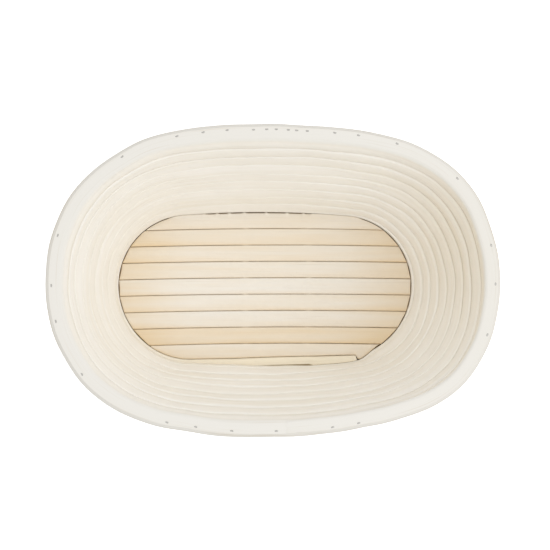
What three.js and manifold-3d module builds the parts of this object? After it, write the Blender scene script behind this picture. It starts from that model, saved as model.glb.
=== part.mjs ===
// An oval proofing basket: one cane wound up from a slatted floor into a flared wall, held by brads.
// Millimetres, +Z up. The origin lies on the table under the middle of the basket.
// +X runs along the length and -Y is the front, where the cane starts and ends.
import * as THREE from "three";
import { mergeVertices } from "three/addons/utils/BufferGeometryUtils.js";
import Module from "manifold-3d";

// Outside of the rim
const RIM_LENGTH = 212;
const RIM_WIDTH = 145;

// Radius of the long sides, on the middle line of the first turn, of the second and of the rim
const FOOT_SIDE_RADIUS = 1180;
const SECOND_SIDE_RADIUS = 420;
const RIM_SIDE_RADIUS = 284;

// The ledge of the first turn that the second leaves free, at the ends and in the middle of the long sides
const END_LEDGE = 1.7;
const SIDE_LEDGE = 4.1;

// Floor slats, side by side along the length
const FLOOR_LENGTH = 147.7;
const SLAT_COUNT = 9;
const SLAT_PITCH = 8.2;
const SLAT_SEAM = 0.5;
const SLAT_THICKNESS = 5.5;
const SLAT_EDGE = 0.8;

// The cane: its section, the bevel of its corners and the thin end of its scarf
const CANE_WIDTH = 7.9;
const CANE_HEIGHT = 7.6;
const CANE_EDGE = 1.5;
const CANE_TIP = 1.2;
const SCARF_EDGE_SHARE = 0.25;

// The winding: turns, the gap between them and the gap to the slats
const TURNS = 10;
const TURN_GAP = 0.45;
const FLOOR_GAP = 0.5;

// Shares of a turn: where the climb begins, clockwise from the right end, the stretch in which the cane
// climbs, and the stretch in which it steps outward to pass the blunt start
const START_SHARE = 0.093;
const CLIMB_SHARE = 0.16;
const SHIFT_SHARE = 0.06;

// Steps of the wound tube in a turn, the least share of a step, and samples of an oval for each step
const STEPS = 32;
const LEAST_STEP = 0.2;
const OVAL_SAMPLES = 100;

// Brads and wires, with the clearance of their holes
const SHANK_RADIUS = 0.6;
const HEAD_RADIUS = 0.85;
const HEAD_THICKNESS = 0.6;
const HEAD_SUNK = 0.4;
const POINT_LENGTH = 1.5;
const BRAD_SIDES = 6;
const DRILL_CLEARANCE = 0.3;
const DRILL_OVERRUN = 4;

// Rim brads: their length, how far outside the cane's middle line they stand,
// and their places as shares of the rim, clockwise from the right end
const RIM_BRAD_LENGTH = 14;
const RIM_BRAD_OFFSET = 1.15;
const RIM_BRADS = [
  0.003, 0.045, 0.18, 0.202, 0.249, 0.286, 0.316, 0.34, 0.419, 0.466, 0.495, 0.536, 0.62, 0.668,
  0.69, 0.71, 0.732, 0.743, 0.751, 0.761, 0.768, 0.777, 0.8, 0.82, 0.853, 0.91, 0.971,
];

// Floor brads, and the two cross wires with their places along the length
const FLOOR_BRAD_LENGTH = 18;
const WIRE_ENTRY = 5;
const WIRE_PLACES = [-10.3, 22];

const wasm = await Module();
wasm.setup();

const caneFinish = new THREE.MeshStandardMaterial({ color: 0xe8dcc6, roughness: 0.7, metalness: 0 });
const slatFinish = new THREE.MeshStandardMaterial({ color: 0xe6d6b8, roughness: 0.65, metalness: 0 });
const bradFinish = new THREE.MeshStandardMaterial({ color: 0x8c8a86, roughness: 0.4, metalness: 0.9 });

const turnRise = CANE_HEIGHT + TURN_GAP;
const rimTop = TURNS * CANE_HEIGHT + (TURNS - 1) * TURN_GAP;
const floorWidth = SLAT_COUNT * SLAT_PITCH;
const floorOffset = FLOOR_GAP + CANE_WIDTH / 2;

// An oval of four arcs, run through clockwise from its right end.
class Oval extends THREE.Curve {
  constructor(halfLength, halfWidth, sideRadius) {
    super();
    this.arcLengthDivisions = OVAL_SAMPLES * STEPS;
    this.sideRadius = sideRadius;
    this.sideCentre = sideRadius - halfWidth;
    const square = 2 * sideRadius * halfWidth - halfLength ** 2 - halfWidth ** 2;
    this.endRadius = square / (2 * (sideRadius - halfLength));
    this.endCentre = halfLength - this.endRadius;
    this.meet = Math.atan2(this.sideCentre, this.endCentre);
  }

  getPoint(t) {
    return this.pointFacing(-2 * Math.PI * t);
  }

  // The angle that the oval faces at a share of its length.
  facing(share) {
    return -2 * Math.PI * this.getUtoTmapping(share);
  }

  // The point where the oval faces an angle, moved outward by an offset.
  pointFacing(angle, offset = 0) {
    const c = Math.cos(angle);
    const s = Math.sin(angle);
    const onEnd = Math.atan2(Math.abs(s), Math.abs(c)) < this.meet;
    const radius = (onEnd ? this.endRadius : this.sideRadius) + offset;
    const x = radius * c + (onEnd ? this.endCentre * Math.sign(c) : 0);
    const y = radius * s - (onEnd ? 0 : this.sideCentre * Math.sign(s));
    return new THREE.Vector3(x, y, 0);
  }
}

// The middle line of the cane in the first turn, in the second and in the rim.
const footHalfLength = FLOOR_LENGTH / 2 + floorOffset;
const footHalfWidth = floorWidth / 2 + floorOffset;
const secondHalfLength = footHalfLength + END_LEDGE;
const secondHalfWidth = footHalfWidth + SIDE_LEDGE;
const rimHalfLength = (RIM_LENGTH - CANE_WIDTH) / 2;
const rimHalfWidth = (RIM_WIDTH - CANE_WIDTH) / 2;
const foot = new Oval(footHalfLength, footHalfWidth, FOOT_SIDE_RADIUS);
const second = new Oval(secondHalfLength, secondHalfWidth, SECOND_SIDE_RADIUS);
const rim = new Oval(rimHalfLength, rimHalfWidth, RIM_SIDE_RADIUS);

// The way that the wall faces at a share of the turn.
function outward(share) {
  const facing = (foot.facing(share) + rim.facing(share)) / 2;
  return new THREE.Vector3(Math.cos(facing), Math.sin(facing), 0);
}

// A point of the wall at a share of the turn: the first turn follows the floor,
// and from the second the wall slopes straight up to the rim.
function wallPoint(share, level, offset, height) {
  const point = second.pointFacing(second.facing(share));
  if (level < 1) point.lerp(foot.pointFacing(foot.facing(share)), 1 - level);
  else point.lerp(rim.pointFacing(rim.facing(share)), (level - 1) / (TURNS - 2));
  return point.addScaledVector(outward(share), offset).setZ(height);
}

// The width of the first turn's free ledge at a share of the turn.
const ledge = (share) => wallPoint(share, 1, 0, 0).sub(wallPoint(share, 0, 0, 0)).dot(outward(share));

// A smooth step from 0 to 1, and the share of the step at which a value is reached.
const ease = (x) => THREE.MathUtils.smoothstep(x, 0, 1);
const easeReaches = (y) => 0.5 - Math.sin(Math.asin(1 - 2 * y) / 3);

// The stations of a turn, the same in every turn, with one at each tip of the scarf
// and one where the start is as high all over as the slats.
const startTip = CLIMB_SHARE * easeReaches((CANE_TIP + TURN_GAP) / turnRise);
const endTip = CLIMB_SHARE - startTip;
const ledgeEnd = CLIMB_SHARE * easeReaches((SLAT_THICKNESS + TURN_GAP) / turnRise);
const fixedStations = [startTip, ledgeEnd, endTip];
const evenStations = Array.from({ length: STEPS }, (_, i) => i / STEPS);
const apart = (f) => fixedStations.every((fixed) => Math.abs(f - fixed) > LEAST_STEP / STEPS);
const stations = [...evenStations.filter(apart), ...fixedStations].sort((a, b) => a - b);

// The level of the wall that the cane has reached: it steps outward just before it passes the start.
function levelAt(turn, f) {
  const passed = turn + f - startTip;
  const whole = Math.floor(passed);
  return Math.min(whole + ease((passed - whole - 1 + SHIFT_SHARE) / SHIFT_SHARE), TURNS - 1);
}

// The cane's section at a station of a turn: eight points, counterclockwise looking back along the cane.
function caneSection(turn, f) {
  const climb = ease(f / CLIMB_SHARE);
  const first = turn === 0;
  const last = turn === TURNS;
  const bottom = first ? 0 : turnRise * (turn - 1 + climb);
  let height = CANE_HEIGHT;
  if (first) height = turnRise * climb - TURN_GAP;
  if (last) height = rimTop - bottom;
  const share = (START_SHARE + f) % 1;
  const bevel = Math.min(CANE_EDGE, height * SCARF_EDGE_SHARE);
  const side = CANE_WIDTH / 2;
  const flat = side - bevel;
  let top = [[side, height - bevel], [flat, height], [-flat, height], [-side, height - bevel]];
  if (first && f <= ledgeEnd) {
    // Only what lies under the second turn is thinned, and the free ledge stays as high as the slats.
    const riser = ledge(share) - TURN_GAP - side;
    top = [[side, height], [riser, height], [riser, SLAT_THICKNESS], [-side, SLAT_THICKNESS]];
  }
  const outline = [[flat, 0], [side, bevel], ...top, [-side, bevel], [-flat, 0]];
  return outline.map(([out, rise]) => wallPoint(share, levelAt(turn, f), out, bottom + rise));
}

// Every section from the starting tip to the ending tip.
function caneSections() {
  const sections = [];
  for (let turn = 0; turn <= TURNS; turn += 1) {
    for (const f of stations) {
      const before = turn === 0 && f < startTip;
      const after = turn === TURNS && f > endTip;
      if (!before && !after) sections.push(caneSection(turn, f));
    }
  }
  return sections;
}

// A closed tube through sections of equal count.
function tube(sections) {
  const sides = sections[0].length;
  const index = [];
  for (let i = 0; i + 1 < sections.length; i += 1) {
    for (let j = 0; j < sides; j += 1) {
      const a = i * sides + j;
      const b = i * sides + (j + 1) % sides;
      index.push(a, b, b + sides, a, b + sides, a + sides);
    }
  }
  const end = (sections.length - 1) * sides;
  for (let j = 1; j + 1 < sides; j += 1) {
    index.push(0, j + 1, j, end, end + j, end + j + 1);
  }
  const geometry = new THREE.BufferGeometry().setFromPoints(sections.flat());
  geometry.setIndex(index);
  return geometry;
}

// The least distance between a section's corners and the outline of the section one turn on.
function leastGap(sections) {
  const edge = new THREE.Line3();
  const near = new THREE.Vector3();
  const reach = (corners, outline) => {
    let least = Infinity;
    outline.forEach((from, j) => {
      edge.set(from, outline[(j + 1) % outline.length]);
      for (const corner of corners) {
        least = Math.min(least, edge.closestPointToPoint(corner, true, near).distanceTo(corner));
      }
    });
    return least;
  };
  let least = Infinity;
  for (let i = 0; i + stations.length < sections.length; i += 1) {
    const below = sections[i];
    const above = sections[i + stations.length];
    least = Math.min(least, reach(below, above), reach(above, below));
  }
  return least;
}

// A closed mesh as a solid to cut, and a solid as a mesh.
function solid(geometry) {
  const bare = geometry.clone();
  bare.deleteAttribute("normal");
  bare.deleteAttribute("uv");
  const merged = mergeVertices(bare);
  const triVerts = [];
  const index = merged.index.array;
  for (let i = 0; i < index.length; i += 3) {
    const [a, b, c] = [index[i], index[i + 1], index[i + 2]];
    if (a !== b && b !== c && c !== a) triVerts.push(a, b, c);
  }
  const vertProperties = new Float32Array(merged.attributes.position.array);
  return new wasm.Manifold(new wasm.Mesh({ numProp: 3, vertProperties, triVerts: new Uint32Array(triVerts) }));
}

function geometryOf(body) {
  const mesh = body.getMesh();
  const geometry = new THREE.BufferGeometry();
  geometry.setAttribute("position", new THREE.BufferAttribute(mesh.vertProperties, 3));
  geometry.setIndex(new THREE.BufferAttribute(mesh.triVerts, 1));
  geometry.computeVertexNormals();
  return geometry;
}

const drilled = (body, drills) => drills.reduce((left, drill) => left.subtract(drill), body);

// A brad's form, or with a clearance the form of its hole, head up along +Y with the head's top at 0.
function bradForm(length, clearance) {
  const shank = SHANK_RADIUS + clearance;
  const head = HEAD_RADIUS + clearance;
  const under = -HEAD_THICKNESS - clearance;
  const tip = -length - clearance;
  const top = clearance > 0 ? DRILL_OVERRUN : 0;
  const profile = [[0, tip], [shank, tip + POINT_LENGTH], [shank, under], [head, under], [head, top], [0, top]];
  return new THREE.LatheGeometry(profile.map(([r, y]) => new THREE.Vector2(r, y)), BRAD_SIDES);
}

// A brad with its hole, its head at a point and driven along a direction.
function brad(name, head, direction, length) {
  const turn = new THREE.Quaternion().setFromUnitVectors(new THREE.Vector3(0, -1, 0), direction);
  const seat = head.clone().addScaledVector(direction, HEAD_SUNK);
  const place = new THREE.Matrix4().compose(seat, turn, new THREE.Vector3(1, 1, 1));
  return {
    name,
    geometry: bradForm(length, 0).applyMatrix4(place),
    drill: solid(bradForm(length, DRILL_CLEARANCE).applyMatrix4(place)),
  };
}

// The brads of the rim, driven down the slope of the wall into the turn below.
function rimBrads() {
  const endLean = (rimHalfLength - secondHalfLength) / (TURNS - 2);
  const sideLean = (rimHalfWidth - secondHalfWidth) / (TURNS - 2);
  return RIM_BRADS.map((share, i) => {
    const angle = rim.facing(share);
    const [c, s] = [Math.cos(angle), Math.sin(angle)];
    const lean = endLean * c ** 2 + sideLean * s ** 2;
    const down = new THREE.Vector3(-lean * c, -lean * s, -turnRise).normalize();
    const head = rim.pointFacing(angle, RIM_BRAD_OFFSET).setZ(rimTop);
    return brad(`rim_brad_${String(i + 1).padStart(2, "0")}`, head, down, RIM_BRAD_LENGTH);
  });
}

// The middle of a slat across the width, counted from the back.
const slatPlace = (i) => ((SLAT_COUNT - 1) / 2 - i) * SLAT_PITCH;

// The brads of the floor, driven level through the first turn into the ends of all slats but the outer two.
function floorBrads(side, label) {
  const inward = new THREE.Vector3(-side, 0, 0);
  const brads = [];
  for (let i = 1; i + 1 < SLAT_COUNT; i += 1) {
    const y = slatPlace(i);
    const outer = foot.endRadius + CANE_WIDTH / 2;
    const x = foot.endCentre + Math.sqrt(outer ** 2 - y ** 2);
    const head = new THREE.Vector3(side * x, y, SLAT_THICKNESS / 2);
    brads.push({ ...brad(`floor_brad_${label}_${i + 1}`, head, inward, FLOOR_BRAD_LENGTH), slat: i });
  }
  return brads;
}

// The two wires that cross all slats and end in the first turn, at the front and the back.
function crossWires() {
  return WIRE_PLACES.map((x, i) => {
    const length = floorWidth + 2 * (FLOOR_GAP + WIRE_ENTRY);
    const form = (grow) => new THREE.CylinderGeometry(
      SHANK_RADIUS + grow, SHANK_RADIUS + grow, length + 2 * grow, BRAD_SIDES,
    ).translate(x, 0, SLAT_THICKNESS / 2);
    return { name: `cross_wire_${i + 1}`, geometry: form(0), drill: solid(form(DRILL_CLEARANCE)) };
  });
}

// A slat: a bar with bevelled upper edges, its ends cut to the oval and drilled.
function slat(i, floorBlock, drills) {
  const side = (SLAT_PITCH - SLAT_SEAM) / 2;
  const flat = side - SLAT_EDGE;
  const shape = new THREE.Shape([
    new THREE.Vector2(-side, 0),
    new THREE.Vector2(side, 0),
    new THREE.Vector2(side, SLAT_THICKNESS - SLAT_EDGE),
    new THREE.Vector2(flat, SLAT_THICKNESS),
    new THREE.Vector2(-flat, SLAT_THICKNESS),
    new THREE.Vector2(-side, SLAT_THICKNESS - SLAT_EDGE),
  ]);
  const bar = new THREE.ExtrudeGeometry(shape, { depth: FLOOR_LENGTH, bevelEnabled: false });
  const [alongX, alongY, alongZ] = [[1, 0, 0], [0, 1, 0], [0, 0, 1]].map((v) => new THREE.Vector3(...v));
  bar.applyMatrix4(new THREE.Matrix4().makeBasis(alongY, alongZ, alongX));
  bar.translate(-FLOOR_LENGTH / 2, slatPlace(i), 0);
  return geometryOf(drilled(solid(bar).intersect(floorBlock), drills));
}

// The outline of the floor, as far inside the first turn all round as the gap to it.
function floorSolid() {
  const firstTurn = stations.map((f) => (f < startTip ? f + 1 : f));
  const corners = firstTurn.map((f) => wallPoint((START_SHARE + f) % 1, levelAt(0, f), -floorOffset, 0));
  const outline = new THREE.Shape(corners.map((corner) => new THREE.Vector2(corner.x, corner.y)));
  const block = new THREE.ExtrudeGeometry(outline, { depth: 2 * SLAT_THICKNESS, bevelEnabled: false });
  return solid(block.translate(0, 0, -SLAT_THICKNESS / 2));
}

const basket = new THREE.Group();
basket.name = "proofing_basket";

function addPiece(name, geometry, material) {
  const mesh = new THREE.Mesh(geometry, material.clone());
  mesh.name = name;
  basket.add(mesh);
}

const rimNails = rimBrads();
const floorNails = [...floorBrads(-1, "left"), ...floorBrads(1, "right")];
const wires = crossWires();
const fasteners = [...rimNails, ...floorNails, ...wires];

const sections = caneSections();
const wound = solid(tube(sections));
addPiece("wall_cane", geometryOf(drilled(wound, fasteners.map((piece) => piece.drill))), caneFinish);

const floorBlock = floorSolid();
for (let i = 0; i < SLAT_COUNT; i += 1) {
  const through = [...floorNails.filter((piece) => piece.slat === i), ...wires];
  addPiece(`floor_slat_${i + 1}`, slat(i, floorBlock, through.map((piece) => piece.drill)), slatFinish);
}
for (const piece of fasteners) {
  addPiece(piece.name, piece.geometry, bradFinish);
}

console.log(`least gap between turns of the cane: ${leastGap(sections).toFixed(2)} mm`);

export default basket;
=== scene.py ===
"""Looks of an oval proofing basket: a wound cane wall on a slatted floor, held by small brads.

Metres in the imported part's own frame: +X along the length, +Y to the back, +Z up from the table.
"""
import logging
import math
import random
from collections.abc import Callable
from dataclasses import dataclass, field
from enum import Enum

import bmesh
import bpy
from bpy.types import Material, Node, NodeSocket, NodeTree, Object
from mathutils import Matrix, Vector


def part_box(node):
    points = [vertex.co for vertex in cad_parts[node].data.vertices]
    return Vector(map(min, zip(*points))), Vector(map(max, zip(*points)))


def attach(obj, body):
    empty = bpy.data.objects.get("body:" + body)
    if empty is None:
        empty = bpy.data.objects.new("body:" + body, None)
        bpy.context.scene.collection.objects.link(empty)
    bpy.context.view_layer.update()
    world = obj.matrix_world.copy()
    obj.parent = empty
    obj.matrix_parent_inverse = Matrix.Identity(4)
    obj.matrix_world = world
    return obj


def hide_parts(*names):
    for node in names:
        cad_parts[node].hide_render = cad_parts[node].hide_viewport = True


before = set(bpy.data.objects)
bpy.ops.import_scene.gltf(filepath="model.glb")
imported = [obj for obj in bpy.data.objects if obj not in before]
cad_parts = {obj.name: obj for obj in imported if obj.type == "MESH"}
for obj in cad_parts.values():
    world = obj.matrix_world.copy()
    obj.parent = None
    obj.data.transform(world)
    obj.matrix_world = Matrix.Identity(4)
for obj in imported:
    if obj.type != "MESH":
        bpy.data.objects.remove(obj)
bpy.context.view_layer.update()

MM = 0.001
# Places closer than this count as one when edges are picked.
CLOSE = MM / 100
# A face counts as square on to an axis when its normal has more than this of it.
SQUARE_ON = 0.9
BODY = "root"
LOG = logging.getLogger("proofing_basket")

# Sockets of the colour form of the Mix node.
MIX_FACTOR, MIX_A, MIX_B, MIX_RESULT = 0, 6, 7, 2


class Slot(Enum):
    """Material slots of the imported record."""

    CANE = "cane"
    SLAT = "slat"
    BRAD = "brad"


class Run(Enum):
    """Attributes that a piece carries for its finish."""

    CANE = "cane_run"
    # Each slat's tone with painted shade towards its front edge, and the painted shade of its seams.
    SLAT = "slat_tone_and_shade"


class Easing(Enum):
    """How a share goes from one bound to the other."""

    EVEN = "LINEAR"
    SOFT = "SMOOTHSTEP"


def linear(code: str) -> tuple[float, float, float, float]:
    """Turn an sRGB hex colour into linear values.

    Args:
        code: Colour such as "#E8DCC6".

    Returns:
        Linear red, green and blue, with an alpha of 1.
    """
    parts = [int(code[i:i + 2], 16) / 255 for i in (1, 3, 5)]
    red, green, blue = (v / 12.92 if v <= 0.04045 else ((v + 0.055) / 1.055) ** 2.4 for v in parts)
    return red, green, blue, 1.0


def ease(x: float) -> float:
    """Step smoothly from 0 to 1 as x does."""
    x = min(max(x, 0.0), 1.0)
    return x * x * (3 - 2 * x)


def ease_reaches(y: float) -> float:
    """Give the x at which ease(x) is y."""
    return 0.5 - math.sin(math.asin(1 - 2 * y) / 3)


def mix(a: float, b: float, share: float) -> float:
    """Give the value at a share of the way from a to b."""
    return a + (b - a) * share


def add_node(
    tree: NodeTree,
    kind: str,
    settings: dict[str, object] | None = None,
    inputs: dict[str | int, object] | None = None,
) -> Node:
    """Add a node, set its properties, and fill or link its inputs.

    Args:
        tree: Node tree of a material or of the world.
        kind: Type of the node, without the leading ShaderNode.
        settings: Properties of the node by name.
        inputs: Values, or sockets to link from, by the input's name or number.

    Returns:
        The new node.
    """
    node = tree.nodes.new(f"ShaderNode{kind}")
    for name, value in (settings or {}).items():
        setattr(node, name, value)
    for name, value in (inputs or {}).items():
        if isinstance(value, NodeSocket):
            tree.links.new(value, node.inputs[name])
        else:
            node.inputs[name].default_value = value
    return node


def new_material(name: str) -> tuple[Material, NodeTree, Node]:
    """Make an empty node material.

    Args:
        name: Name of the real material and its finish.

    Returns:
        The material, its node tree and its output node.
    """
    material = bpy.data.materials.new(name)
    material.use_nodes = True
    tree = material.node_tree
    tree.nodes.clear()
    return material, tree, add_node(tree, "OutputMaterial")


def clear_selection() -> None:
    """Deselect every object."""
    if bpy.context.object and bpy.context.object.mode != "OBJECT":
        bpy.ops.object.mode_set(mode="OBJECT")
    bpy.ops.object.select_all(action="DESELECT")


def pick(piece: Object, kind: str, test: Callable[[Vector, Vector], bool]) -> None:
    """Select the edges or the faces of a piece in edit mode that pass a test.

    Args:
        piece: Object in edit mode.
        kind: EDGE or FACE.
        test: Takes the two ends of an edge, or the middle and the normal of a face.
    """
    bpy.ops.mesh.select_mode(type=kind)
    bpy.ops.mesh.select_all(action="DESELECT")
    mesh = bmesh.from_edit_mesh(piece.data)
    if kind == "EDGE":
        found = [edge for edge in mesh.edges if test(edge.verts[0].co, edge.verts[1].co)]
    else:
        found = [face for face in mesh.faces if test(face.calc_center_median(), face.normal)]
    for element in found:
        element.select_set(True)
    bmesh.update_edit_mesh(piece.data)


def new_bar(name: str, low: Vector, high: Vector) -> Object:
    """Add a cube between two corners and leave it in edit mode.

    Args:
        name: Name of the piece.
        low: Lowest corner.
        high: Highest corner.

    Returns:
        The bar, whose object sits at the origin.
    """
    clear_selection()
    bpy.ops.mesh.primitive_cube_add(size=1.0)
    bar = bpy.context.object
    bar.name = bar.data.name = name
    bpy.ops.object.mode_set(mode="EDIT")
    bpy.ops.transform.resize(value=high - low)
    bpy.ops.transform.translate(value=(low + high) / 2)
    return bar


def hand_over(piece: Object, slot: Slot, *nodes: str) -> None:
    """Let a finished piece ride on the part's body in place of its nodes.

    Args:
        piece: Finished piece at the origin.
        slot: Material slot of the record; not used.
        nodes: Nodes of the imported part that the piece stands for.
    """
    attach(piece, BODY)
    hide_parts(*nodes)
    LOG.info("%s: %d faces, stands for %s", piece.name, len(piece.data.polygons), ", ".join(nodes))


@dataclass(frozen=True)
class Fade:
    """How far a coat is laid: not at all where a value is at its start, and wholly where it is full."""

    value: NodeSocket
    start: float = 0.0
    full: float = 1.0
    easing: Easing = Easing.EVEN


@dataclass(frozen=True)
class Coat:
    """A colour over a finish: its first fade goes from the lesser share to the greater, others thin it."""

    colour: str
    shares: tuple[float, float]
    fades: tuple[Fade, ...]


def lay_coats(tree: NodeTree, base: str, coats: tuple[Coat, ...]) -> NodeSocket:
    """Lay coats of colour over each other.

    Args:
        tree: Node tree of the material.
        base: Colour under the coats.
        coats: The coats from the lowest to the top.

    Returns:
        The socket of the final colour.
    """
    colour = linear(base)
    for coat in coats:
        least, share = coat.shares
        for fade in coat.fades:
            share = add_node(tree, "MapRange", {"interpolation_type": fade.easing.value}, {
                "Value": fade.value, "From Min": fade.start, "From Max": fade.full,
                "To Min": least, "To Max": share}).outputs["Result"]
            least = 0.0
        colour = add_node(tree, "Mix", {"data_type": "RGBA"}, {
            MIX_FACTOR: share, MIX_A: colour, MIX_B: linear(coat.colour)}).outputs[MIX_RESULT]
    return colour


def grain(tree: NodeTree, run: NodeSocket, length: float, width: float) -> NodeSocket:
    """Add a noise that is drawn out along the fibres.

    Args:
        tree: Node tree of the material.
        run: Coordinates along, across and up the piece.
        length: Length of a fibre.
        width: Width of a fibre.

    Returns:
        The noise's value socket.
    """
    drawn = add_node(tree, "Mapping", inputs={
        "Vector": run, "Scale": (1 / length, 1 / width, 1 / width)}).outputs["Vector"]
    return add_node(tree, "TexNoise", inputs={
        "Vector": drawn, "Scale": 1.0, "Detail": 3.0, "Roughness": 0.6}).outputs["Fac"]


@dataclass(frozen=True)
class CaneFinish:
    """Peeled rattan, sanded: matt and pale, with long fibres, bleached where the rim is handled; painted
    shade on the right wall and in creases.
    """

    name: str = "peeled_rattan_cane"
    pale: str = "#F8F5EF"
    straw: str = "#F3EEE3"
    rim: str = "#E5E2DB"
    fleck: str = "#C2AE8C"
    outside: str = "#E9DCC4"
    # Painted shade: a warmer, darker tan on the upper right inner wall, where the wall lies in shade.
    right_wall_shade: str = "#E4D6B9"
    # Painted shade: darker along the tops of the turns on the upper right wall, in the grooves between
    # them.
    groove_shade: str = "#A08A60"
    start: str = "#F3E7CD"
    # Painted shade: dark in the crease where the second turn sits on the start of the first.
    joint: str = "#8F7B54"
    crease_shade_width: float = 0.22 * MM
    # Real fibres are about 0.3 mm wide, too fine to show, so they are drawn coarser.
    fibre_width: float = 0.8 * MM
    fibre_length: float = 60 * MM
    fibre_depth: float = 0.09 * MM
    streak_width: float = 3.0 * MM
    streak_length: float = 160 * MM
    cloud: float = 45 * MM
    rim_fade: float = 60 * MM
    rim_tilt: float = 0.6
    # Middle, full size and reach of the painted shade on the upper right wall.
    right_wall_shade_place: tuple[float, float, float] = (103 * MM, 18 * MM, 71 * MM)
    right_wall_shade_core: float = 12 * MM
    right_wall_shade_reach: float = 80 * MM

    def make(self, wall: "CaneWall") -> Material:
        """Make the material.

        Args:
            wall: The wound wall, whose sizes place the rim, the start and the joints.

        Returns:
            The material, which reads the cane's own length, width and height.
        """
        material, tree, output = new_material(self.name)
        run = add_node(tree, "Attribute", {"attribute_name": Run.CANE.value}).outputs["Vector"]
        fibre = grain(tree, run, self.fibre_length, self.fibre_width)
        streak = grain(tree, run, self.streak_length, self.streak_width)
        colour = lay_coats(tree, self.pale, self.coats(tree, wall, run, fibre, streak))
        bump = add_node(tree, "Bump", inputs={
            "Strength": 0.5, "Distance": self.fibre_depth, "Height": fibre}).outputs["Normal"]
        rough = add_node(tree, "MapRange", inputs={
            "Value": streak, "To Min": 0.58, "To Max": 0.76}).outputs["Result"]
        surface = add_node(tree, "BsdfPrincipled", inputs={
            "Base Color": colour, "Roughness": rough, "IOR": 1.48, "Normal": bump})
        tree.links.new(surface.outputs["BSDF"], output.inputs["Surface"])
        return material

    def coats(
        self, tree: NodeTree, wall: "CaneWall", run: NodeSocket, fibre: NodeSocket, streak: NodeSocket
    ) -> tuple[Coat, ...]:
        """List the cane's coats: mottle, painted shade at the right end, start, outside, rim, flecks, and
        painted shade in grooves and creases.

        Args:
            tree: Node tree of the material.
            wall: The wound wall.
            run: Coordinates along, across and up the cane.
            fibre: Fine noise along the cane.
            streak: Broad noise along the cane.

        Returns:
            The coats from the lowest to the top.
        """
        turn, height, half = wall.turn_length, wall.height, wall.width / 2
        rim_start = turn * (wall.turns - 1)
        sides = add_node(tree, "SeparateXYZ", inputs={"Vector": run}).outputs
        along, out, up = sides["X"], sides["Y"], sides["Z"]
        place = add_node(tree, "TexCoord").outputs["Object"]
        cloud = add_node(tree, "TexNoise", inputs={
            "Vector": place, "Scale": 1 / self.cloud, "Detail": 2.0}).outputs["Fac"]
        away = add_node(tree, "VectorMath", {"operation": "DISTANCE"}, {
            0: place, 1: self.right_wall_shade_place}).outputs["Value"]
        tilted = add_node(tree, "Math", {"operation": "MULTIPLY_ADD"}, {
            0: out, 1: self.rim_tilt, 2: up}).outputs["Value"]
        # Painted shade round the upper right inner wall; it also bounds the painted shade in the grooves.
        right_wall_shade = Fade(away, self.right_wall_shade_reach, self.right_wall_shade_core, Easing.SOFT)
        return (
            Coat(self.straw, (0.0, 0.9), (Fade(streak, 0.38, 0.72),)),
            Coat(self.straw, (0.0, 0.4), (Fade(cloud, 0.45, 0.75),)),
            Coat(self.right_wall_shade, (0.0, 0.42), (right_wall_shade,)),
            Coat(self.start, (0.0, 0.8), (Fade(along, turn * 0.35, turn * 0.15, Easing.SOFT),)),
            Coat(self.outside, (0.4, 1.0), (Fade(streak, 0.35, 0.7), Fade(out, 0.0, half, Easing.SOFT))),
            Coat(self.rim, (0.0, 0.9), (
                Fade(tilted, height * 0.4, height * 0.75, Easing.SOFT),
                Fade(along, rim_start - self.rim_fade, rim_start))),
            Coat(self.fleck, (0.26, 0.6), (Fade(out, 0.0, half), Fade(fibre, 0.58, 0.78))),
            # Painted shade in the grooves between the turns of the upper right wall, stopping below the
            # rim.
            Coat(self.groove_shade, (0.0, 0.52), (
                right_wall_shade, Fade(up, height * 0.95, height), Fade(along, rim_start, rim_start - turn * 0.05))),
            # Painted shade in that crease, along the first part of the cane.
            Coat(self.joint, (0.0, 0.9), (
                Fade(out, -self.crease_shade_width, -self.crease_shade_width / 5),
                Fade(up, height * 0.85, height * 0.95), Fade(along, turn * 0.3, turn * 0.2))),
        )


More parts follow.
